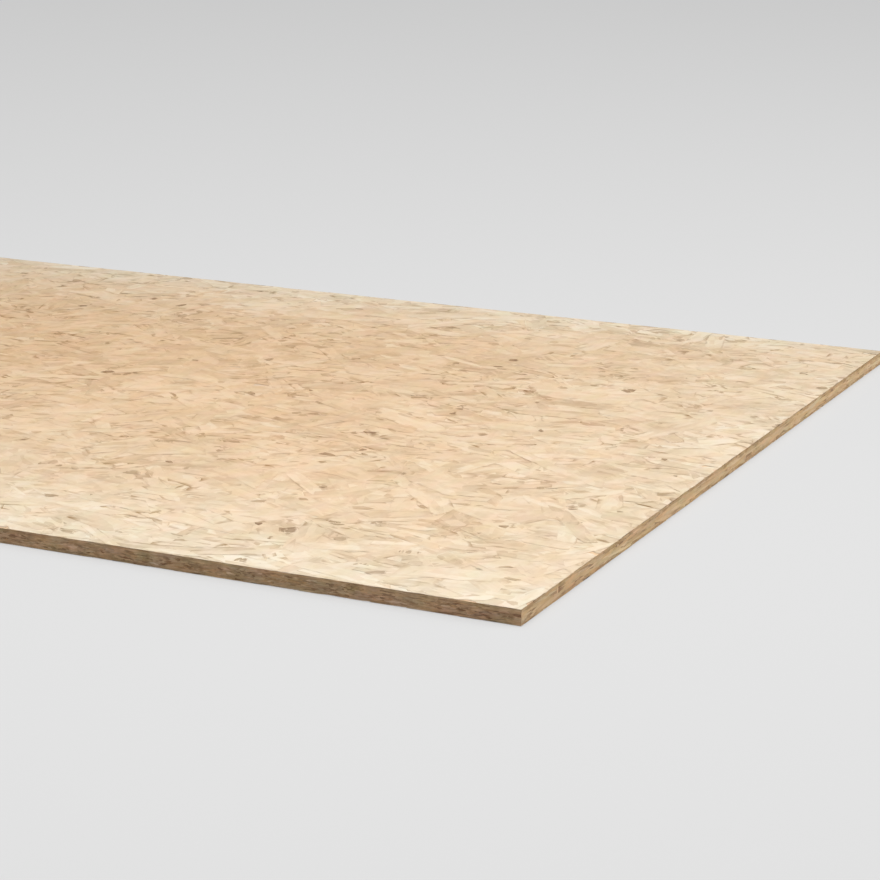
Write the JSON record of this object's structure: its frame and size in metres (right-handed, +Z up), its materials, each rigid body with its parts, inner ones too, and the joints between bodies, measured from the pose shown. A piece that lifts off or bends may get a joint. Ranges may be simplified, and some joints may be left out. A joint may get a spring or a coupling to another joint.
{
  "type": "oriented strand board panel",
  "caption": "Flat rectangular sheet of pressed and bonded wood strands with square sawn edges, for sheathing walls, roofs and floors.",
  "frame": {"origin": "centre of the underside", "axes": "+X along the length, the way the face strands mostly run; +Y across the width; +Z up through the thickness"},
  "size_m": [2.44, 1.22, 0.018],
  "materials": {
    "strand_board": "matt pressed wood strands, pale cream to tan, with dark flecks and browner sawn edges"
  },
  "bodies": {
    "root": {"panel": "strand_board"}
  },
  "joints": []
}
